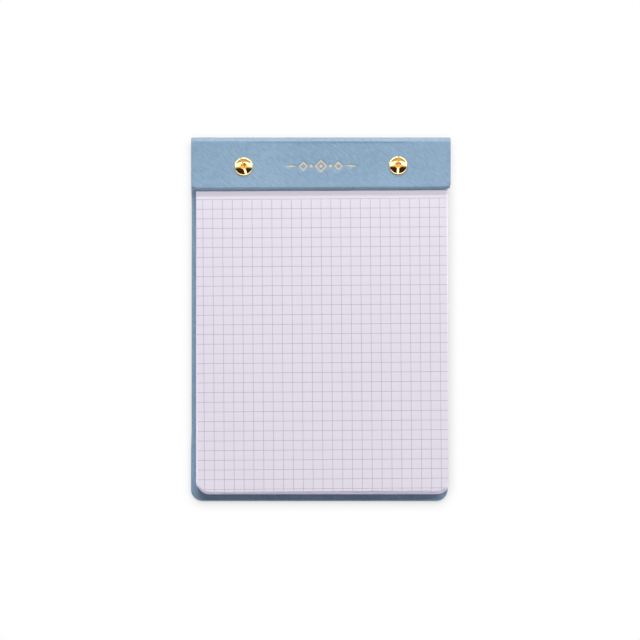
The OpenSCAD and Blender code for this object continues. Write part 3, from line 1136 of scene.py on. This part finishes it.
stage = {
    "floorSize": 30.0,
    "floorTone": "#F2F2F2",
    "shadowReach": 6,  # mm, width of the soft shadow round the pad
    "shadowDeep": 0.67,  # level of the floor where it is darkest
    "shadowRange": (0.3, 0.95),  # openness of the floor where that is, and where the shadow ends
    "shadowFrom": (0.35, 0.94),  # the way that it looks for the pad: up the pad and straight up
    "floorGap": 0.05,  # mm under the pad
    "world": 0.13,  # level of the light from all round
    # a lamp: distance in metres, angle from straight up towards the spine, angle to the right,
    # half its height and half its width as angles, level
    "lamps": {
        "mainBox": (4.8, 23, 36, 3.4, 47, 16.2),
        "windowLight": (2.2, 61, -3, 2.3, 14, 39.0),
        "frontFill": (3.0, -84, 0, 6, 40, 1.5),
    },
    # a card: distance, lowest and highest angle from straight up, half its width, level, tint
    "cards": {
        "brightStrip": (1.2, 8.6, 37.5, 66, 2.5, "#FFFFFF"),
        "stripEdge": (1.2, -3.5, 8.6, 66, 0.8, "#FFE1AA"),
        "backWall": (1.6, 37.5, 66, 66, 0.62, "#FFE7B5"),
        "horizon": (2.4, 66, 90, 70, 5.0, "#FFFFFF"),
        "darkSide": (1.3, -58, -3.5, 75, 0.04, "#FFC98A"),
        "tableGlow": (1.9, -88, -58, 70, 2.3, "#FFECDD"),
    },
    "lean": 9,  # degrees, of the camera towards the free end
    "cameraFar": 15.0,  # metres, with a long lens, as for a flat lay
    "across": 0.3247,  # metres, width of the picture at the pad
    "target": (-0.48, -1.22, 10.5),  # mm
}


def seenDirectly(tree):
    # 1 for what the camera sees, straight or in something shiny or clear, 0 for light on its way
    rays = addNode(tree, "LightPath")
    either = addNode(tree, "Math", {"operation": "MAXIMUM"},
            {0: rays.outputs["Is Camera Ray"], 1: rays.outputs["Is Glossy Ray"]})
    return addNode(tree, "Math", {"operation": "MAXIMUM"},
            {0: either, 1: rays.outputs["Is Transmission Ray"]})


def makeFloor():
    # a white table: the camera sees it white with the narrow soft shadow where the pad touches it
    clearSelection()
    bpy.ops.mesh.primitive_plane_add(size=stage["floorSize"], location=(0, 0, -stage["floorGap"] * mm))
    floor = startShape("table")
    material, tree = newMaterial("whiteTable")
    lit = addNode(tree, "BsdfDiffuse", {"Color": colour(stage["floorTone"])})
    up, straight = stage["shadowFrom"]
    tilt = addNode(tree, "CombineXYZ", {1: up, 2: straight})
    near = addNode(tree, "AmbientOcclusion", {"samples": 12, "Distance": stage["shadowReach"] * mm},
            {"Normal": tilt})
    dark, clear = stage["shadowRange"]
    shade = addNode(tree, "MapRange", {"From Min": dark, "From Max": clear, "To Min": stage["shadowDeep"]},
            {"Value": near.outputs["AO"]})
    white = addNode(tree, "Emission", links={"Strength": shade})
    both = addNode(tree, "MixShader", links={0: seenDirectly(tree), 1: lit, 2: white})
    finishMaterial(tree, both)
    dress(floor, material)


def aimAt(place, target):
    return (Vector(target) - Vector(place)).to_track_quat("-Z", "Y").to_euler()


def spanned(distance, angle):
    # width that is seen under this angle to either side
    return 2 * distance * math.tan(math.radians(angle))


def skyPlace(distance, zenith, side=0.0):
    # a place over the pad, at an angle from straight up towards +Y and then to the side
    up, turn = math.radians(zenith), math.radians(side)
    return Vector((distance * math.tan(turn), distance * math.sin(up), distance * math.cos(up)))


def addLamp(name, distance, zenith, side, spread, wide, level):
    # a soft box that lights by an even glow of the given level, and that shiny things do not see
    place = skyPlace(distance, zenith, side)
    clearSelection()
    bpy.ops.object.light_add(type="AREA", location=place, rotation=aimAt(place, (place.x, 0, 0)))
    lamp = bpy.context.object
    lamp.name = name
    lamp.data.shape = "RECTANGLE"
    lamp.data.size = spanned(distance, wide)
    lamp.data.size_y = spanned(distance, spread)
    lamp.data.energy = level * math.pi * lamp.data.size * lamp.data.size_y
    lamp.visible_camera = False
    lamp.visible_glossy = False


def addCard(name, distance, low, high, wide, level, tint):
    # a card that only shiny surfaces see, from a low to a high angle from straight over the screws
    place = skyPlace(distance, (low + high) / 2) + Vector((0, screwY, 0))
    clearSelection()
    bpy.ops.mesh.primitive_plane_add(size=1, location=place, rotation=aimAt(place, (0, screwY, 0)))
    bpy.context.object.scale = (spanned(distance, wide), spanned(distance, (high - low) / 2), 1)
    card = startShape(name)
    material, tree = newMaterial(name + "Glow")
    finishMaterial(tree, addNode(tree, "Emission", {"Color": colour(tint), "Strength": level}))
    dress(card, material)
    for way in ("camera", "diffuse", "transmission", "shadow", "volume_scatter"):
        setattr(card, "visible_" + way, False)


def makeWorld():
    world = bpy.data.worlds.new("paleRoom")
    bpy.context.scene.world = world
    world.use_nodes = True
    tree = world.node_tree
    tree.nodes.clear()
    level = addNode(tree, "MapRange", {"To Min": stage["world"]}, {"Value": seenDirectly(tree)})
    sky = addNode(tree, "Background", {"Color": (1, 1, 1, 1)}, {"Strength": level})
    addNode(tree, "OutputWorld", links={"Surface": sky})


def makeCamera():
    lean = math.radians(stage["lean"])
    place = Vector(stage["target"]) * mm + stage["cameraFar"] * Vector((0, -math.sin(lean), math.cos(lean)))
    bpy.ops.object.camera_add(location=place, rotation=(lean, 0, 0))
    camera = bpy.context.object
    camera.data.sensor_width = 36
    camera.data.lens = camera.data.sensor_width * stage["cameraFar"] / stage["across"]
    camera.data.clip_start = 0.05
    camera.data.clip_end = 80
    bpy.context.scene.camera = camera


makeFloor()
makeWorld()
for name, numbers in stage["lamps"].items():
    addLamp(name, *numbers)
for name, numbers in stage["cards"].items():
    addCard(name, *numbers)
makeCamera()
bpy.context.scene.view_settings.view_transform = "Standard"
print("memo pad: the stage is set")
